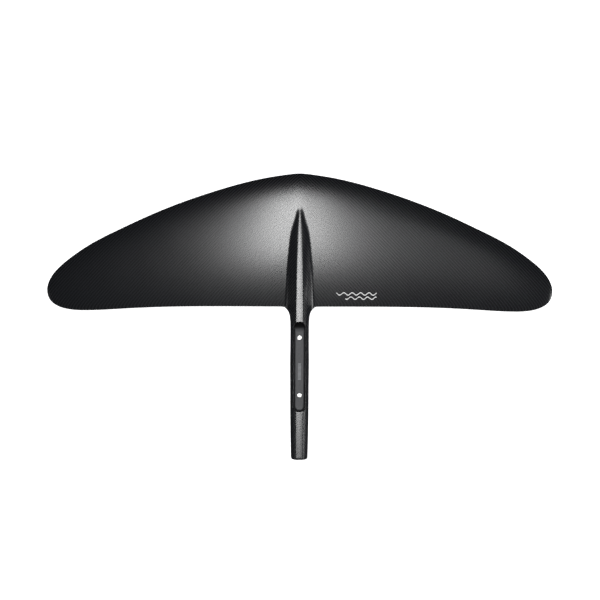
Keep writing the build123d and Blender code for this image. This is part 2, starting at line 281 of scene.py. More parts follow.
def chord_z(x):
    out = np.maximum(0, (np.abs(x) - FLAT_CENTRE) / (HALF_SPAN - FLAT_CENTRE))
    return PARTING_Z - TIP_DROOP * out**DROOP_POWER


def wing_height(x, y, side):
    """Height of the wing's surface; side is 1 above and -1 below."""
    chord = np.maximum(leading_y(x) - trailing_y(x), 1e-6)
    share = np.clip((leading_y(x) - y) / chord, 0, 1)
    shape = (
        0.2969 * np.sqrt(share) - 0.126 * share - 0.3516 * share**2
        + 0.2843 * share**3 - 0.1036 * share**4
    )
    web = np.clip((np.abs(x) - FUSELAGE_HALF_WIDTH) / WEB_FADE, 0, 1)
    thin = np.minimum(EDGE_THICKNESS, EDGE_SHARE * chord)
    edge = np.where(y < TRAILING_EDGE_Y - 1, web, 1) * thin / 2 * share
    ahead = (2 * CAMBER_AT * share - share**2) / CAMBER_AT**2
    behind = (1 - 2 * CAMBER_AT + 2 * CAMBER_AT * share - share**2) / (1 - CAMBER_AT)**2
    bend = CAMBER_RATIO * chord * np.where(share < CAMBER_AT, ahead, behind)
    return chord_z(x) + bend + side * (5 * THICKNESS_RATIO * chord * shape + edge)


# %% [markdown]
# ## The fuselage's section
# The ridge rises from the wing as a flat ribbon between two flanks and becomes the fuselage behind it.
# Its half section is a chain of straight runs with rounded corners, and each corner moves smoothly along
# the length. The belly is made the same way. Behind the socket a fine step in the surface marks a seam.

# %% Fuselage stations
# Each row: y, then the four corners as (half width, height) pairs from the middle line outwards.
TOP_STATIONS = [
    (-154, 6.1, 24.0, 11.1, 18.5, 13.55, 9.5, 13.7, 4.0),
    (-120, 6.4, 24.0, 11.8, 18.5, 14.4, 9.5, 14.55, 4.0),
    (-85, 6.5, 24.0, 12.2, 18.5, 15.0, 9.5, 15.15, 4.0),
    (-40, 6.5, 24.0, 12.4, 18.5, 15.25, 9.5, 15.4, 4.0),
    (30, 6.5, 24.0, 12.4, 18.5, 15.3, 9.5, 15.5, 4.0),
    (75, 6.5, 24.1, 12.5, 18.5, 15.4, 9.5, 15.6, 4.0),
    (90, 6.4, 24.2, 12.9, 18.2, 16.6, 9.2, 18.6, 4.3),
    (103, 6.3, 24.4, 13.4, 17.8, 18.4, 9.2, 23.6, 4.7),
    (128, 6.0, 24.7, 13.6, 19.3, 18.3, 13.2, 22.6, 9.4),
    (161, 5.5, 25.0, 12.8, 21.0, 17.2, 16.9, 21.0, 14.2),
    (195, 4.5, 25.1, 11.0, 22.6, 14.6, 20.2, 17.7, 18.1),
    (228, 3.4, 24.6, 7.6, 23.2, 10.3, 21.8, 12.6, 20.4),
    (248, 2.4, 23.0, 4.1, 22.3, 5.5, 21.5, 7.0, 20.5),
    (259, 1.5, 20.9, 2.5, 20.6, 3.6, 20.1, 4.8, 19.3),
    (267, 0.9, 17.5, 1.5, 17.2, 2.0, 16.6, 2.5, 15.8),
    (285, 0.6, 11.0, 0.8, 10.6, 1.0, 10.0, 1.2, 9.2),
]
# Each row: y, half width at the parting line, height of the belly.
BELLY_STATIONS = [
    (-154, 13.7, -12.0), (-120, 14.55, -12.0), (-85, 15.15, -12.0), (-40, 15.4, -12.0), (30, 15.5, -12.0),
    (75, 15.6, -12.0), (103, 16.2, -11.9), (128, 16.2, -11.5), (161, 15.2, -10.5), (195, 13.2, -8.8),
    (228, 10.4, -6.6), (250, 7.6, -4.6), (267, 5.2, -2.8), (285, 2.6, -0.4),
]
CROWN = 0.15  # rise of the flat ribbon at its middle
ROUNDING = (1.1, 3.2, 3.2)  # how far from each corner its rounding starts
ARC_STEPS = 7
STEP = 1.0
TAIL_ROUNDING = 3.0
TAIL_HALF_WIDTH = 13.7
TAIL_CLOSING = 0.6  # the top and bottom round off this much of what the sides do
SEAT_Z = -11.2
SEAT_FRONT_Y = -98.0
SEAM_Y = -106.0
SEAM_STEP = 0.12
BELLY_FLAT = 9.0


def rounded_chain(corners):
    """A chain of straight runs whose inner corners are rounded."""
    corners = [np.array(corner, float) for corner in corners]
    path = [corners[0]]
    for before, corner, after, reach in zip(corners, corners[1:], corners[2:], ROUNDING):
        back, on = before - corner, after - corner
        reach = min(reach, 0.45 * np.linalg.norm(back), 0.45 * np.linalg.norm(on))
        start = corner + back / np.linalg.norm(back) * reach
        end = corner + on / np.linalg.norm(on) * reach
        for t in np.linspace(0, 1, ARC_STEPS):
            path.append((1 - t)**2 * start + 2 * t * (1 - t) * corner + t**2 * end)
    return np.array(path + [corners[-1]])


def belly_corners(width, bottom):
    deep = PARTING_Z - bottom
    flat = BELLY_FLAT * width / FUSELAGE_HALF_WIDTH
    return [(flat, bottom), (0.88 * width, PARTING_Z - 0.68 * deep), (width, PARTING_Z - 0.3 * deep),
            (width + 0.05, PARTING_Z)]


def profile_table(stations, corners_of, crown):
    """Half sections every millimetre of the length, from the tail forwards."""
    rows = np.array(stations, float)
    slopes = knot_slopes(rows[:, 0], rows[:, 1:])
    places = np.arange(rows[0, 0], rows[-1, 0] + STEP, STEP)
    found = []
    for values in along_knots(rows[:, 0], rows[:, 1:], slopes, places):
        corners = corners_of(values)
        found.append(rounded_chain([(0, corners[0][1] + crown), *corners]))
    return places[0], np.array(found)


TOP_TABLE = profile_table(TOP_STATIONS, lambda v: list(zip(v[0::2], v[1::2])), CROWN)
BELLY_TABLE = profile_table(BELLY_STATIONS, lambda v: belly_corners(*v), 0.0)
LAST = TOP_TABLE[1].shape[1] - 1  # number of steps from the middle line to the parting line


def profile_at(y, table):
    start, profiles = table
    place = np.clip((y - start) / STEP, 0, len(profiles) - 1.001)
    i = int(place)
    return profiles[i] * (1 - place + i) + profiles[i + 1] * (place - i)


def body_height(x, y, table, side):
    """Height of the ridge or keel where it stands out of the wing."""
    profile = profile_at(y, table)
    beyond = max(abs(x) - profile[-1, 0], 0) + max(y - TOP_STATIONS[-1][0], 0)
    return np.interp(abs(x), profile[:, 0], profile[:, 1]) - side * beyond


def body_place(y, step, side):
    """A place on the fuselage behind the wing: step counts from the middle line, negative on the left."""
    profile = profile_at(y, TOP_TABLE if side > 0 else BELLY_TABLE)
    x = np.interp(abs(step), range(LAST + 1), profile[:, 0])
    z = np.interp(abs(step), range(LAST + 1), profile[:, 1])
    rise = z - PARTING_Z
    if side > 0 and y < 0:
        swell = SEAM_STEP * np.clip((SEAM_Y + 1 - y) / 2, 0, 1)
        x += swell * abs(step) / LAST
        z += swell * (1 - abs(step) / LAST)
    into = np.clip((TAIL_Y + TAIL_ROUNDING - y) / TAIL_ROUNDING, 0, 1)
    inset = TAIL_ROUNDING * (1 - math.sqrt(max(1 - into**2, 0)))
    x *= 1 - inset / TAIL_HALF_WIDTH
    z = PARTING_Z + rise * (1 - TAIL_CLOSING * inset / abs(profile[0, 1] - PARTING_Z))
    if side < 0 and y < SEAT_FRONT_Y:
        z = max(z, SEAT_Z)
    return (math.copysign(x, step), y, z)


print("half section steps:", LAST)

# %% [markdown]
# ## Laying out the mesh
# The upper skin is one sheet of quads. Across the wing its rows follow the chord. Near the middle the
# columns close up to meet the fuselage, so that the flare between the two is part of the same sheet.
# Ridge and wing are blended with a smooth maximum, which leaves the small fillet a mould has.

# %% Wing patch
FLARE_LENGTH = 20.0
ROOT_Y = TRAILING_EDGE_Y - FLARE_LENGTH  # where the flare reaches the side of the fuselage
FLARE_STEPS = 12
FLARE_X = 30.5  # where it leaves the rear edge
RIDGE_REACH = 40.0  # the ridge and keel have died away this far from the middle line
FILLET_FADE = 8.0
WING_STEPS = 110
CHORD_STEPS = 76
FILLET = {1: 1.6, -1: 4.0}
SKIN_THICKNESS = 1.8


def blend(a, b, reach):
    """The larger of two numbers, with the corner between them smoothed."""
    near = max(reach - abs(a - b), 0) / reach if reach > 0 else 0
    return max(a, b) + near**2 * reach / 4


def surface_height(x, y, side):
    table = TOP_TABLE if side > 0 else BELLY_TABLE
    wing = float(wing_height(x, y, side))
    if abs(x) > RIDGE_REACH:
        return wing
    reach = FILLET[side] * np.clip((y - ROOT_Y) / FILLET_FADE, 0, 1)
    return side * blend(side * wing, side * body_height(x, y, table, side), reach)


def columns_at_rear(side):
    """Where the columns of the right half end: along the fuselage, round the flare and out to the tip."""
    ends = [body_place(ROOT_Y, step, side)[:2] for step in range(LAST + 1)]
    foot = ends[-1][0]
    for i in range(1, FLARE_STEPS + 1):
        turn = math.pi / 2 * i / FLARE_STEPS
        across = foot + (FLARE_X - foot) * (1 - math.cos(turn))
        ends.append((across, ROOT_Y + FLARE_LENGTH * math.sin(turn)))
    for i in range(1, WING_STEPS + 1):
        x = FLARE_X + (HALF_SPAN - FLARE_X) * math.sin(math.pi / 2 * i / WING_STEPS)
        ends.append((x, float(trailing_y(x))))
    return ends


def wing_patch(side):
    """Places of the wing's grid, by column from the left tip to the right one and by row from the front."""
    right = columns_at_rear(side)
    inner = LAST + FLARE_STEPS
    shares = 0.5 * (1 - np.cos(np.pi * np.arange(CHORD_STEPS + 1) / CHORD_STEPS))
    columns = []
    for i, (rear_x, rear_y) in enumerate(right):
        front_x = FLARE_X * i / inner if i < inner else rear_x
        column = []
        for share in shares:
            x = front_x + (rear_x - front_x) * share**3
            y = leading_y(x) + (rear_y - leading_y(x)) * share
            column.append((x, y, surface_height(x, y, side)))
        columns.append(column)
    columns = np.array(columns)
    columns[:, 0, 2] = chord_z(columns[:, 0, 0])
    columns[-1] = columns[-1, 0]
    mirrored = columns[:0:-1] * (-1, 1, 1)
    return np.concatenate([mirrored, columns])


print("wing columns on one side:", LAST + FLARE_STEPS + WING_STEPS)

# %% [markdown]
# ## Cloth coordinates
# The woven pattern has to lie on the skins as real cloth would, without stretching on the flanks of the
# ridge. So each place of a sheet also gets two cloth coordinates: the distance run across from the
# middle line and the distance run forwards, both measured along the surface.

# %% Sheets of quads
class Sheet:
    """Collects grids of quads with cloth coordinates in millimetres."""

    def __init__(self):
        self.places, self.cloth, self.quads = [], [], []

    def grid(self, places, cloth, flip=False):
        rows, columns = places.shape[:2]
        first = len(self.places)
        self.places += [tuple(p) for p in places.reshape(-1, 3)]
        self.cloth += [tuple(c) for c in cloth.reshape(-1, 2)]
        for r in range(rows - 1):
            for c in range(columns - 1):
                a = first + r * columns + c
                quad = (a, a + 1, a + 1 + columns, a + columns)
                self.quads.append(quad[::-1] if flip else quad)

    def mesh(self, name):
        mesh = bpy.data.meshes.new(name)
        mesh.from_pydata([tuple(v * MM for v in p) for p in self.places], [], self.quads)
        layer = mesh.uv_layers.new(name="cloth")
        cloth = np.array(self.cloth)[[loop.vertex_index for loop in mesh.loops]]
        layer.data.foreach_set("uv", cloth.astype(np.float32).ravel())
        return mesh


def run_lengths(places, axis, skip):
    """Distance covered along one direction of a grid, leaving one coordinate out of the sum."""
    steps = np.delete(np.diff(places, axis=axis), skip, axis=2)
    lengths = np.cumsum(np.linalg.norm(steps, axis=2), axis=axis)
    zero = np.zeros_like(np.take(lengths, [0], axis=axis))
    return np.concatenate([zero, lengths], axis=axis)


def wing_cloth(places):
    """Cloth coordinates of the wing patch: across from the middle line, and along from the rear edge."""
    across = run_lengths(places, 0, 1)
    across = across - across[len(places) // 2]
    along = run_lengths(places, 1, 0)
    return np.stack([across, places[:, -1:, 1] + along[:, -1:] - along], axis=2)


# %% [markdown]
# ## Round the socket
# The socket is a slot with soft square ends whose walls lean outwards. Rings of quads run from its rim
# out to the sides of the fuselage, so that the rim can be rolled over evenly all round.

# %% Socket outline
SOCKET_RIM = 24.0
SOCKET_HALF = {"rim": (10.0, 74.4), "floor": (7.5, 72.9)}
SOCKET_END = 9.6
SOCKET_SQUARENESS = 2.35
SIDE_STEPS = 72
RIM_ROLL = 0.8
LIP = 2.0
REAR_Y = -85.0
RING_COUNT = 14


def socket_outline(z, grow=0.0):
    """The slot at heights z, one per place: right side, rear end, left side and front end."""
    share = z / SOCKET_RIM
    half_x = SOCKET_HALF["floor"][0] + (SOCKET_HALF["rim"][0] - SOCKET_HALF["floor"][0]) * share + grow
    half_y = SOCKET_HALF["floor"][1] + (SOCKET_HALF["rim"][1] - SOCKET_HALF["floor"][1]) * share + grow
    end = (SOCKET_END + grow) * np.ones_like(z)
    straight = half_y - end
    along = np.linspace(1, -1, SIDE_STEPS + 1)[:-1]
    turn = np.linspace(0, np.pi, 2 * LAST + 1)[:-1]
    power = 2 / SOCKET_SQUARENESS
    across = np.sign(np.cos(turn)) * np.abs(np.cos(turn))**power
    out = np.abs(np.sin(turn))**power
    x = np.concatenate([np.ones_like(along), across, -np.ones_like(along), -across]) * half_x
    y = np.concatenate([along, -np.ones_like(turn), -along, np.ones_like(turn)]) * straight
    y += np.concatenate([0 * along, -out, 0 * along, out]) * end
    return np.stack([x, y], axis=1)


RING = 2 * (SIDE_STEPS + 2 * LAST)


def top_height(x, y):
    profile = profile_at(y, TOP_TABLE)
    return float(np.interp(abs(x), profile[:, 0], profile[:, 1]))


def rim_outline(grow):
    """The slot's outline and height where it cuts the top of the fuselage."""
    z = np.full(RING, SOCKET_RIM)
    for _ in range(4):
        plan = socket_outline(z, grow)
        z = np.array([top_height(x, y) for x, y in plan])
    return plan, z


def outer_ring():
    """Steps and y of the patch's outer edge, in the order of the slot's outline."""
    sides = np.linspace(ROOT_Y, REAR_Y, SIDE_STEPS + 1)[:-1]
    ends = np.linspace(LAST, -LAST, 2 * LAST + 1)[:-1]
    right = [(LAST, y) for y in sides]
    rear = [(step, REAR_Y) for step in ends]
    left = [(-LAST, y) for y in REAR_Y + ROOT_Y - sides]
    front = [(-step, ROOT_Y) for step in ends]
    return np.array(right + rear + left + front)


def step_of(x, y):
    profile = profile_at(y, TOP_TABLE)
    return math.copysign(np.interp(abs(x), profile[:, 0], range(LAST + 1)), x)


def across_length(step, y):
    profile = profile_at(y, TOP_TABLE)
    lengths = np.concatenate([[0], np.cumsum(np.linalg.norm(np.diff(profile, axis=0), axis=1))])
    return math.copysign(np.interp(abs(step), range(LAST + 1), lengths), step)


def closed(grid):
    """The grid with its first column repeated at its end."""
    return np.concatenate([grid, grid[:, :1]], axis=1)


def socket_patch():
    """Rings from the lip inside the slot, over its rim and out to the sides of the fuselage."""
    plan, rim_z = rim_outline(0.0)
    rolled, _ = rim_outline(RIM_ROLL)
    inner = np.array([(step_of(x, y), y) for x, y in rolled])
    outer = outer_ring()
    rings = [np.column_stack([socket_outline(rim_z - LIP), rim_z - LIP])]
    for angle in np.radians([0, 22.5, 45, 67.5]):
        reach = RIM_ROLL * (1 - math.cos(angle))
        drop = RIM_ROLL * (1 - math.sin(angle))
        at = plan + (rolled - plan) * reach / RIM_ROLL
        outer_z = np.array([top_height(x, y) for x, y in at])
        rings.append(np.column_stack([at, outer_z - drop]))
    steps = [(step_of(x, y), y) for x, y in plan]
    cloth = [[(across_length(step, y), y) for step, y in steps]] * len(rings)
    for share in np.linspace(0, 1, RING_COUNT + 1):
        places = inner + (outer - inner) * share
        rings.append(np.array([body_place(y, step, 1) for step, y in places]))
        cloth.append([(across_length(step, y), y) for step, y in places])
    return closed(np.array(rings)), closed(np.array(cloth))


# %% [markdown]
# ## The tail
# Behind the socket the fuselage narrows a little and ends in a small round, then a flat face that closes
# down to the level where the two halves of the mould meet.

# %% Tail patch
def tail_patch(side, front_y, rows):
    """The fuselage from front_y to its end, which closes down to the parting line."""
    steps = np.arange(-LAST, LAST + 1)
    places = [[body_place(y, step, side) for step in steps] for y in rows]
    last = np.array(places[-1])
    for share in (0.25, 0.5, 0.75, 1.0):
        row = last.copy()
        row[:, 2] = last[:, 2] + (PARTING_Z - last[:, 2]) * share
        places.append(row)
    places = np.array(places)
    across = run_lengths(places, 1, 1)
    across = across - across[:, LAST:LAST + 1]
    along = run_lengths(places, 0, 0)
    return places, np.stack([across, front_y - along], axis=2)


def tail_rows(front_y, marks=()):
    rows = list(np.arange(front_y, TAIL_Y + TAIL_ROUNDING, -2.5))
    rows += [mark + offset for mark in marks for offset in (0.01, -0.01)]
    rows += [TAIL_Y + TAIL_ROUNDING * (1 - math.sin(turn)) for turn in np.linspace(0, np.pi / 2, 9)]
    return sorted(set(rows), reverse=True)


# %% [markdown]
# ## Joining the sheets
# A skin leaves its mould as one sheet with no gaps. The patches share their border places, so joining
# what coincides makes one mesh, shaded smooth but for the edges that are crisp on the real part. The
# thin wall of the rear edge goes down to the parting level, where the two skins meet.

# %% Objects and tidy meshes
def make_object(name, mesh):
    piece = bpy.data.objects.new(name, mesh)
    bpy.context.scene.collection.objects.link(piece)
    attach(piece, "root")
    return piece


def tidy_mesh(mesh, side=0, angle=40.0, merge=1e-6):
    """Joins places that coincide, turns the faces outwards and marks the crisp edges."""
    work = bmesh.new()
    work.from_mesh(mesh)
    bmesh.ops.remove_doubles(work, verts=work.verts, dist=merge)
    bmesh.ops.dissolve_degenerate(work, edges=work.edges, dist=merge)
    bmesh.ops.recalc_face_normals(work, faces=work.faces)
    if side * sum(face.normal.z * face.calc_area() for face in work.faces) < 0:
        bmesh.ops.reverse_faces(work, faces=work.faces)
    work.to_mesh(mesh)
    work.free()
    mesh.shade_smooth()
    mesh.set_sharp_from_angle(angle=math.radians(angle))


def apply_modifiers(piece):
    shown = piece.evaluated_get(bpy.context.evaluated_depsgraph_get())
    mesh = bpy.data.meshes.new_from_object(shown)
    piece.modifiers.clear()
    piece.data = mesh


# %% [markdown]
# ## The two skins
# The upper skin takes in the wing's top, the ridge and the rim of the socket. The lower skin takes in
# the wing's underside, the shallow keel and the belly, with its flat seat for a rear wing. Both are made
# by one function, in the same order as their patches were described.

# %% Upper and lower sheets
def skin_sheet(side, name):
    """One skin as an open sheet: the wing, the thin wall of its rear edge and the fuselage."""
    sheet = Sheet()
    patch = wing_patch(side)
    sheet.grid(patch, wing_cloth(patch), flip=side < 0)
    edge = patch[:, -1].copy()
    edge[:, 2] = chord_z(edge[:, 0])
    for half in (slice(0, WING_STEPS + FLARE_STEPS + 1), slice(-WING_STEPS - FLARE_STEPS - 1, None)):
        wall = np.stack([patch[half, -1], edge[half]], axis=1)
        cloth = np.stack([wall[:, :, 0], wall[:, :, 1] + side * wall[:, :, 2]], axis=2)
        sheet.grid(wall, cloth, flip=side < 0)
    if side > 0:
        sheet.grid(*socket_patch())
        rear = tail_patch(1, REAR_Y, tail_rows(REAR_Y))
    else:
        rear = tail_patch(-1, ROOT_Y, tail_rows(ROOT_Y, (SEAT_FRONT_Y,)))
    sheet.grid(*rear, flip=side > 0)
    mesh = sheet.mesh(name)
    tidy_mesh(mesh, side)
    return mesh


upper_skin = make_object("upper_skin", skin_sheet(1, "upper_skin"))
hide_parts("upper_shell")
lower_skin = make_object("lower_skin", skin_sheet(-1, "lower_skin"))
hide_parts("lower_shell")
print("faces:", len(upper_skin.data.polygons), "above,", len(lower_skin.data.polygons), "below")

# %% [markdown]
# ## A real wall thickness
# Each skin is a laminate about 1.8 mm thick that runs out to nothing where the two halves meet, at the
# edges of the wing and along the sides of the fuselage. A Solidify modifier with a weight for each
# vertex makes that wall. The belly then gets true holes, cut with Boolean modifiers, for the heads of
# the bolt ferrules and for the threaded inserts.

# %% Wall thickness and holes
WALL_SHARE = 0.6  # of the room between a place and the parting surface
THINNEST = 0.03
PEG_SIDES = 64
FERRULES = [(7.5, y) for y in (-48.25, 48.25)]
INSERTS = [(4.5, y) for y in (-143.0, -109.0)]


def peg(radius, y, low=-20.0, high=-4.0):
    """A round cutter under the belly."""
    mesh = bpy.data.meshes.new("peg")
    work = bmesh.new()
    place = Matrix.Translation((0, y * MM, (low + high) / 2 * MM))
    bmesh.ops.create_cone(work, cap_ends=True, segments=PEG_SIDES, radius1=radius * MM, radius2=radius * MM,
                          depth=(high - low) * MM, matrix=place)
    work.to_mesh(mesh)
    work.free()
    cutter = bpy.data.objects.new("peg", mesh)
    bpy.context.scene.collection.objects.link(cutter)
    return cutter


def thicken(piece, pegs=()):
    group = piece.vertex_groups.new(name="wall")
    for vertex in piece.data.vertices:
        x, _, z = vertex.co / MM
        room = WALL_SHARE * abs(z - chord_z(x)) / SKIN_THICKNESS
        group.add([vertex.index], min(max(room, THINNEST), 1.0), "REPLACE")
    wall = piece.modifiers.new("wall", "SOLIDIFY")
    wall.thickness = SKIN_THICKNESS * MM
    wall.offset = -1
    wall.vertex_group = "wall"
    cutters = [peg(*values) for values in pegs]
    for cutter in cutters:
        hole = piece.modifiers.new("hole", "BOOLEAN")
        hole.operation = "DIFFERENCE"
        hole.solver = "EXACT"
        hole.object = cutter
    apply_modifiers(piece)
    for cutter in cutters:
        bpy.data.objects.remove(cutter)
    piece.vertex_groups.clear()
    print(piece.name, "closed faces:", len(piece.data.polygons))


thicken(upper_skin)
thicken(lower_skin, FERRULES + INSERTS)

# %% [markdown]
# ## The socket's tub
# A separate carbon tub lines the slot. It is laid up over a steel plug, so its inside is crisp, with a
# small round where the walls meet the floor. It follows the same outline as the slot in the skin, and
# rings of quads build it from the lip down, then outside up again. Two bolt holes go through its floor,
# and the front of the floor sweeps up into the end wall.

# %% Tub
TUB_ROUND = 1.6
TUB_ROUND_STEPS = 7
TUB_MIDDLE = 6.0  # height of a ring half way up the outside
TUB_WALL = 2.0
TUB_FLOOR = 3.0
HOLE_RADIUS = 3.5
HOLE_BEVEL = 0.15
HOLE_SIDES = 48
BOLT_Y = 48.25
TOE_Y = 56.0
TOE_RADIUS = 20.0
TOE_STEPS = 12


def ring_of(work, places):
    return [work.verts.new([value * MM for value in place]) for place in places]


def bridge(work, first, second):
    for i in range(len(first)):
        work.faces.new((first[i - 1], first[i], second[i], second[i - 1]))


def slot_ring(z, grow):
    return np.column_stack([socket_outline(z, grow), z])


def hole_ring(radius, y, z):
    turns = np.linspace(0, 2 * np.pi, HOLE_SIDES, endpoint=False)
    return [(radius * math.cos(turn), y + radius * math.sin(turn), z) for turn in turns]


def fill_between(work, rings):
    """Fills a flat region bounded by an outer ring and the rings of its holes."""
    pairs = [(ring[i - 1], ring[i]) for ring in rings for i in range(len(ring))]
    edges = [work.edges.get(pair) or work.edges.new(pair) for pair in pairs]
    bmesh.ops.triangle_fill(work, edges=edges, use_beauty=True)


def raise_front(work):
    """The front of the floor sweeps up into the end wall, like the rounded toe of a mast."""
    end_y = SOCKET_HALF["floor"][1]
    for y in np.linspace(TOE_Y, end_y, TOE_STEPS, endpoint=False):
        flat = [face for face in work.faces if all(abs(vert.co.z) < 1e-7 for vert in face.verts)]
        parts = set(flat)
        for face in flat:
            parts.update(face.edges, face.verts)
        bmesh.ops.bisect_plane(work, geom=list(parts), plane_co=(0, y * MM, 0), plane_no=(0, 1, 0))
    for vert in work.verts:
        ahead = min(max(vert.co.y / MM - TOE_Y, 0), TOE_RADIUS)
        vert.co.z = max(vert.co.z, (TOE_RADIUS - math.sqrt(TOE_RADIUS**2 - ahead**2)) * MM)


def socket_tub():
    work = bmesh.new()
    _, rim_z = rim_outline(0.0)
    lip = rim_z - LIP
    level = np.ones(RING)
    inside = [slot_ring(lip + (TUB_ROUND * level - lip) * share, 0.0) for share in (0.0, 0.25, 0.5, 0.75)]
    for turn in np.linspace(0, np.pi / 2, TUB_ROUND_STEPS):
        z = TUB_ROUND * (1 - math.sin(turn)) * level
        inside.append(slot_ring(z, -TUB_ROUND * (1 - math.cos(turn))))
    outside = [slot_ring(z, TUB_WALL) for z in (-TUB_FLOOR * level, TUB_MIDDLE * level, lip)]
    inside = [ring_of(work, ring) for ring in inside]
    for first, second in zip(inside, inside[1:]):
        bridge(work, first, second)
    holes = [ring_of(work, hole_ring(HOLE_RADIUS + HOLE_BEVEL, y, 0.0)) for y in (-BOLT_Y, BOLT_Y)]
    fill_between(work, [inside[-1], *holes])
    raise_front(work)
    outside = [ring_of(work, ring) for ring in outside]
    for first, second in zip(outside, outside[1:]):
        bridge(work, first, second)
    bridge(work, outside[-1], inside[0])
    under_rings = [outside[0]]
    for top, y in zip(holes, (-BOLT_Y, BOLT_Y)):
        bevel = ring_of(work, hole_ring(HOLE_RADIUS, y, -HOLE_BEVEL))
        under_rings.append(ring_of(work, hole_ring(HOLE_RADIUS, y, -TUB_FLOOR)))
        bridge(work, top, bevel)
        bridge(work, bevel, under_rings[-1])
    fill_between(work, under_rings)
    mesh = bpy.data.meshes.new("socket_tub")
    work.to_mesh(mesh)
    work.free()
    tidy_mesh(mesh)
    return mesh


socket_tub_piece = make_object("socket_tub", socket_tub())
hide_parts("socket_liner")
print("tub faces:", len(socket_tub_piece.data.polygons))

# %% [markdown]
# ## Finishes
# Every recipe below works in millimetres of the real surface. The woven cloth follows the skins through
# their cloth coordinates. The other materials are solid right through, so their patterns are read from
# the place in space.

# %% Millimetre coordinates and small sums
def sums(tree):
    """A function that adds one sum to the tree and returns its result."""
    def sum_of(operation, *values, **settings):
        inputs = dict(enumerate(values))
        return add(tree, "ShaderNodeMath", inputs, operation=operation, **settings).outputs[0]
    return sum_of


def cloth_mm(tree):
    cloth = add(tree, "ShaderNodeUVMap", uv_map="cloth")
    return add(tree, "ShaderNodeSeparateXYZ", {0: cloth.outputs[0]}).outputs


def space_mm(tree, stretch=(1, 1, 1)):
    """The place on the object in millimetres; a stretch draws a pattern out along an axis."""
    place = add(tree, "ShaderNodeTexCoord").outputs["Object"]
    scale = [1 / (MM * factor) for factor in stretch]
    return add(tree, "ShaderNodeMapping", {"Vector": place, "Scale": scale}).outputs[0]


def between(tree, share, low, high):
    """A number that runs from low to high with the share."""
    return add(tree, "ShaderNodeMapRange", {"Value": share, "To Min": low, "To Max": high}).outputs[0]


def mixed(tree, share, low, high):
    """A colour between two others, each a hex value or a node's colour."""
    ends = [linear(end) if isinstance(end, str) else end for end in (low, high)]
    inputs = {"Factor": share, "A": ends[0], "B": ends[1]}
    return add(tree, "ShaderNodeMix", inputs, data_type="RGBA").outputs["Result"]


def grain(tree, place, size, detail=3.0):
    """Noise whose blotches are about this many millimetres across."""
    inputs = {"Vector": place, "Scale": 1 / size, "Detail": detail}
    return add(tree, "ShaderNodeTexNoise", inputs).outputs["Fac"]


def bumped(tree, height, depth, strength=1.0):
    """A surface normal from a height between 0 and 1 that stands for so many millimetres."""
    inputs = {"Height": height, "Distance": depth * MM, "Strength": strength}
    return add(tree, "ShaderNodeBump", inputs).outputs[0]


# %% [markdown]
# ### Woven carbon under satin clear coat
# The skins are 2 by 2 twill: each tow goes over two and under two, one step further on each row, which
# draws the diagonals. Real 3K tows are about 2 mm wide; here they are 1.4 mm, as the diagonals on this
# wing are close together. The cloth is laid as a mirrored pair, so the diagonals meet in a V on the
# middle line. Black fibres take almost no colour, and the satin epoxy over them gives a broad highlight.
# Tows that run across and tows that run along shine a little differently, so the roughness changes too.
# Two plain wave lines are printed in white on the right wing, over the clear coat and duller than it.

# %% Twill carbon
TOW = 1.4
SATIN = 0.26
TOW_GLOSS = 0.018
SEAM_WIDTH = 1.1
SEAM_FROM = 6.0  # half width of the flat top, where the seam is sanded away
WAVE_LINES = [(61, 128, 121.5), (76, 128, 114.5)]  # from x, to x, y
WAVE_LENGTH = 14.0
WAVE_HEIGHT = 2.0
WAVE_STROKE = 1.5


def seam_line(tree):
    """How much a place belongs to the dark seam across the sides of the tail."""
    value = sums(tree)
    place = add(tree, "ShaderNodeSeparateXYZ", {0: space_mm(tree)}).outputs
    off = value("ABSOLUTE", value("SUBTRACT", place[1], SEAM_Y))
    beside = value("GREATER_THAN", value("ABSOLUTE", place[0]), SEAM_FROM)
    return value("MULTIPLY", value("LESS_THAN", off, SEAM_WIDTH / 2), beside)


def ink_waves(tree):
    """How much white ink covers the skin: two plain wave lines behind the right half of the wing."""
    value = sums(tree)
    place = add(tree, "ShaderNodeSeparateXYZ", {0: space_mm(tree)}).outputs
    cover = None
    for k, (start, end, line_y) in enumerate(WAVE_LINES):
        turn = value("MULTIPLY_ADD", place[0], 2 * math.pi / WAVE_LENGTH, k)
        swing = value("MULTIPLY", value("SINE", turn), WAVE_HEIGHT)
        off = value("ABSOLUTE", value("SUBTRACT", value("SUBTRACT", place[1], swing), line_y))
        line = value("LESS_THAN", off, WAVE_STROKE / 2)
        ahead = value("GREATER_THAN", place[0], start)
        line = value("MULTIPLY", line, value("MULTIPLY", ahead, value("LESS_THAN", place[0], end)))
        cover = line if cover is None else value("MAXIMUM", cover, line)
    return cover


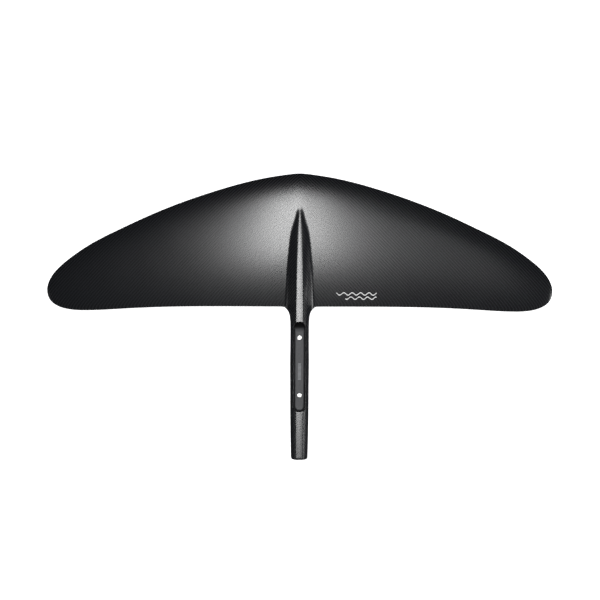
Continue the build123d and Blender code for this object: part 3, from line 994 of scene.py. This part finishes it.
def carbon_twill(name, printed):
    material, tree = new_material(name)
    value = sums(tree)
    across, along, _ = cloth_mm(tree)
    i = value("DIVIDE", value("ABSOLUTE", across), TOW)
    j = value("DIVIDE", along, TOW)
    steps = value("ADD", value("FLOOR", i), value("FLOOR", j))
    warp = value("LESS_THAN", value("FLOORED_MODULO", steps, 4.0), 1.5)
    ridge_i = value("PINGPONG", i, 0.5)
    ridge_j = value("PINGPONG", j, 0.5)
    height = value("MULTIPLY_ADD", value("SUBTRACT", ridge_i, ridge_j), warp, ridge_j)
    swing = value("SINE", value("MULTIPLY", value("ADD", i, j), math.pi / 2))
    tone = value("MULTIPLY_ADD", swing, 0.35, value("MULTIPLY_ADD", warp, 0.3, 0.35))
    place = space_mm(tree)
    haze = grain(tree, place, 35.0)
    fibres = grain(tree, space_mm(tree, (0.4, 0.4, 1)), 0.9, 2.0)
    base = mixed(tree, tone, "#08090a", "#1b1c1f")
    base = mixed(tree, value("MULTIPLY", fibres, 0.35), base, "#1f2023")
    rough = value("MULTIPLY_ADD", tone, TOW_GLOSS, between(tree, haze, SATIN - 0.01, SATIN + 0.01))
    if printed:
        seam = seam_line(tree)
        base = mixed(tree, seam, base, "#040404")
        rough = value("MULTIPLY_ADD", seam, 0.3, rough)
        ink = ink_waves(tree)
        base = mixed(tree, ink, base, "#f2f2f2")
        rough = value("MULTIPLY_ADD", ink, 0.2, rough)
    finish_material(tree, {
        "Base Color": base,
        "Roughness": rough,
        "IOR": 1.52,
        "Normal": bumped(tree, height, 0.05, 0.05),
    })
    return material


def dress(piece, material):
    piece.data.materials.clear()
    piece.data.materials.append(material)


dress(upper_skin, carbon_twill("satin_carbon_twill_printed", True))
dress(lower_skin, carbon_twill("satin_carbon_twill", False))

# %% [markdown]
# ### Tooled carbon of the socket, with painted shade on its walls
# The tub's inside took the fine fabric mark of its release cloth, so it is matt and a little paler than
# the skin. The release cloth has about 0.5 mm threads; they are drawn at 0.9 mm to show at all. Up the
# walls the colour is painted almost black: painted shade for the shadow inside the deep slot. A short
# scale of plain ticks is printed in grey on the floor between the bolt holes.

# %% Socket finish
RELEASE_THREAD = 0.9
PAINTED_SHADE_START = 0.8  # painted shade starts to darken the colour at this height
PAINTED_SHADE_FULL = 2.6  # above this the walls are painted almost black, as shade
TICKS_FROM, TICKS_TO = -22.0, 6.0
TICK_GAP = 2.0
TICK_SHARE = 0.4
TICK_HALF_LENGTH = 2.6


def ink_ticks(tree):
    value = sums(tree)
    x, y, z = add(tree, "ShaderNodeSeparateXYZ", {0: space_mm(tree)}).outputs
    turn = value("FRACT", value("DIVIDE", value("SUBTRACT", y, TICKS_FROM), TICK_GAP))
    tick = value("LESS_THAN", turn, TICK_SHARE)
    for inside in (value("LESS_THAN", value("ABSOLUTE", x), TICK_HALF_LENGTH),
                   value("GREATER_THAN", y, TICKS_FROM), value("LESS_THAN", y, TICKS_TO),
                   value("LESS_THAN", value("ABSOLUTE", z), 0.1)):
        tick = value("MULTIPLY", tick, inside)
    return tick


def tooled_carbon_with_painted_shade():
    material, tree = new_material("peel_ply_carbon_painted_wall_shade")
    value = sums(tree)
    place = space_mm(tree)
    x, y, z = add(tree, "ShaderNodeSeparateXYZ", {0: place}).outputs
    threads = value("MULTIPLY", value("SINE", value("MULTIPLY", x, 2 * math.pi / RELEASE_THREAD)),
                    value("SINE", value("MULTIPLY", value("ADD", y, z), 2 * math.pi / RELEASE_THREAD)))
    height = value("MULTIPLY_ADD", threads, 0.5, 0.5)
    mottle = grain(tree, place, 2.5, 5.0)
    # Painted shade: with height the colour is blended to almost black up the walls, for the shadow inside
    # the slot.
    heights = {"Value": z, "From Min": PAINTED_SHADE_START, "From Max": PAINTED_SHADE_FULL}
    wall = add(tree, "ShaderNodeMapRange", heights).outputs[0]
    base = mixed(tree, mottle, "#1f2022", "#5c5d60")
    base = mixed(tree, ink_ticks(tree), base, "#a4a6a9")
    # Painted shade, almost black, on the walls.
    base = mixed(tree, wall, base, "#060607")
    finish_material(tree, {
        "Base Color": base,
        "Roughness": between(tree, mottle, 0.5, 0.62),
        "IOR": 1.52,
        "Normal": bumped(tree, height, 0.06, 0.5),
    })
    return material


dress(socket_tub_piece, tooled_carbon_with_painted_shade())

# %% [markdown]
# ### Foam
# The cores lie hidden inside, and would be seen on a bench with the skins off. Closed-cell PVC foam is
# pale yellow and matt where it is machined, with small open cells at the surface. The cells are about
# 0.4 mm on the real foam and are drawn at 0.8 mm, so that they show.

# %% Foam
FOAM_CELL = 0.8


def pvc_foam():
    material, tree = new_material("machined_pvc_foam")
    place = space_mm(tree)
    cells = add(tree, "ShaderNodeTexVoronoi", {"Vector": place, "Scale": 1 / FOAM_CELL}).outputs["Distance"]
    finish_material(tree, {
        "Base Color": mixed(tree, grain(tree, place, 25.0), "#d9cf9c", "#c9bd86"),
        "Roughness": between(tree, cells, 0.95, 0.8),
        "IOR": 1.53,
        "Normal": bumped(tree, cells, 0.3, 0.6),
    })
    return material


# %% [markdown]
# ### Pressed carbon laminates
# The spar's caps and the strips along the edges are unidirectional carbon: long fibres that all run
# along the span, drawn as bundles, because one fibre is far too fine to show. The web's cloth crosses
# at 45 degrees. Both come out of a press with a smooth, half glossy face.

# %% Carbon laminates
FIBRE_BUNDLE = 0.9
BIAXIAL_TOW = 1.6


def unidirectional_carbon():
    material, tree = new_material("pressed_unidirectional_carbon")
    fibres = grain(tree, space_mm(tree, (40, 1, 1)), FIBRE_BUNDLE, 4.0)
    finish_material(tree, {
        "Base Color": mixed(tree, fibres, "#17181a", "#34353a"),
        "Roughness": between(tree, fibres, 0.3, 0.45),
        "IOR": 1.52,
        "Normal": bumped(tree, fibres, 0.04, 0.4),
    })
    return material


def biaxial_carbon():
    material, tree = new_material("pressed_biaxial_carbon")
    value = sums(tree)
    x, y, z = add(tree, "ShaderNodeSeparateXYZ", {0: space_mm(tree)}).outputs
    down = value("ADD", y, z)
    one = value("PINGPONG", value("ADD", x, down), BIAXIAL_TOW)
    other = value("PINGPONG", value("SUBTRACT", x, down), BIAXIAL_TOW)
    height = value("DIVIDE", value("MAXIMUM", one, other), BIAXIAL_TOW)
    finish_material(tree, {
        "Base Color": mixed(tree, height, "#121315", "#2a2b2f"),
        "Roughness": between(tree, height, 0.5, 0.38),
        "IOR": 1.52,
        "Normal": bumped(tree, height, 0.1, 0.4),
    })
    return material


# %% [markdown]
# ### Glass laminate and filler
# The bulkheads, packers and base plate are sawn from solid glass and epoxy sheet, which is green-grey,
# translucent at its edges and shows its plies there. Real plies are about 0.25 mm; they are drawn at
# 0.5 mm. The epoxy in the nose and the tips is black with chopped fibre, cast, and slightly glossy.

# %% Laminate and filler
GLASS_PLY = 0.5
GLASS_TOW = 2.0


def glass_laminate():
    material, tree = new_material("sawn_glass_laminate")
    value = sums(tree)
    place = space_mm(tree)
    z = add(tree, "ShaderNodeSeparateXYZ", {0: place}).outputs[2]
    ply = value("DIVIDE", value("PINGPONG", z, GLASS_PLY), GLASS_PLY)
    weave = add(tree, "ShaderNodeTexChecker", {"Vector": place, "Scale": 1 / GLASS_TOW}).outputs["Fac"]
    tone = value("MULTIPLY_ADD", weave, 0.35, value("MULTIPLY", ply, 0.5))
    finish_material(tree, {
        "Base Color": mixed(tree, tone, "#7f8f66", "#a9b58c"),
        "Roughness": between(tree, grain(tree, place, 2.0), 0.45, 0.65),
        "IOR": 1.55,
        "Normal": bumped(tree, ply, 0.05, 0.5),
    })
    return material


def filled_epoxy():
    material, tree = new_material("fibre_filled_epoxy")
    place = space_mm(tree)
    flecks = grain(tree, space_mm(tree, (3, 1, 1)), 0.8, 5.0)
    finish_material(tree, {
        "Base Color": mixed(tree, flecks, "#1b1c1f", "#3a3b40"),
        "Roughness": between(tree, grain(tree, place, 6.0), 0.35, 0.55),
        "IOR": 1.55,
        "Normal": bumped(tree, flecks, 0.08, 0.4),
    })
    return material


# %% [markdown]
# ### Beech
# The block in the tail that holds the inserts is sealed beech. It has soft growth bands along its
# length and the short darker flecks that tell beech from other pale woods.

# %% Beech
FLECK_FROM = 0.63  # noise above this is a fleck


def beech():
    material, tree = new_material("sealed_beech")
    rings = grain(tree, space_mm(tree, (1, 18, 1)), 2.5, 3.0)
    flecks = grain(tree, space_mm(tree, (1, 5, 1)), 0.6, 2.0)
    value = sums(tree)
    dark = value("GREATER_THAN", flecks, FLECK_FROM)
    base = mixed(tree, rings, "#c39a6b", "#d9b688")
    finish_material(tree, {
        "Base Color": mixed(tree, value("MULTIPLY", dark, 0.5), base, "#8f6238"),
        "Roughness": between(tree, rings, 0.4, 0.55),
        "IOR": 1.5,
        "Normal": bumped(tree, rings, 0.04, 0.4),
    })
    return material


# %% [markdown]
# ### Turned metals
# The ferrules are turned from stainless steel and the inserts from brass. A lathe leaves fine rings, so
# the roughness and the bump both follow the height along the axis, with a little unevenness. Metals
# keep the default index of refraction.

# %% Turned metal
TURNING_FEED = 0.25


def turned_metal(name, colour, worn, rough):
    material, tree = new_material(name)
    value = sums(tree)
    place = space_mm(tree)
    z = add(tree, "ShaderNodeSeparateXYZ", {0: place}).outputs[2]
    rings = value("DIVIDE", value("PINGPONG", z, TURNING_FEED), TURNING_FEED)
    blotch = grain(tree, place, 3.0)
    finish_material(tree, {
        "Base Color": mixed(tree, blotch, colour, worn),
        "Metallic": 1.0,
        "Roughness": between(tree, value("MULTIPLY_ADD", rings, 0.3, value("MULTIPLY", blotch, 0.7)),
                             rough, rough + 0.15),
        "Normal": bumped(tree, rings, 0.01, 0.5),
    })
    return material


# %% [markdown]
# ## Dressing the hidden pieces
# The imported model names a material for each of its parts. Each recipe is made once and put on every part
# of that material, so that both sides of the wing share their finishes.

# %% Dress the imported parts
RECIPES = {
    "foam": pvc_foam,
    "carbon_ud": unidirectional_carbon,
    "carbon_biaxial": biaxial_carbon,
    "glass_laminate": glass_laminate,
    "epoxy_filler": filled_epoxy,
    "hardwood": beech,
    "stainless_steel": lambda: turned_metal("turned_stainless_steel", "#c8c6c2", "#a9a7a4", 0.22),
    "brass": lambda: turned_metal("turned_brass", "#d8b25e", "#b48f45", 0.25),
}
FINISHES = {slot: recipe() for slot, recipe in RECIPES.items()}
for part in frame["record"]["subparts"]:
    if part["material_slot"] in FINISHES:
        dress(frame["nodes"][part["node"]], FINISHES[part["material_slot"]])
print("finishes:", ", ".join(material.name for material in FINISHES.values()))
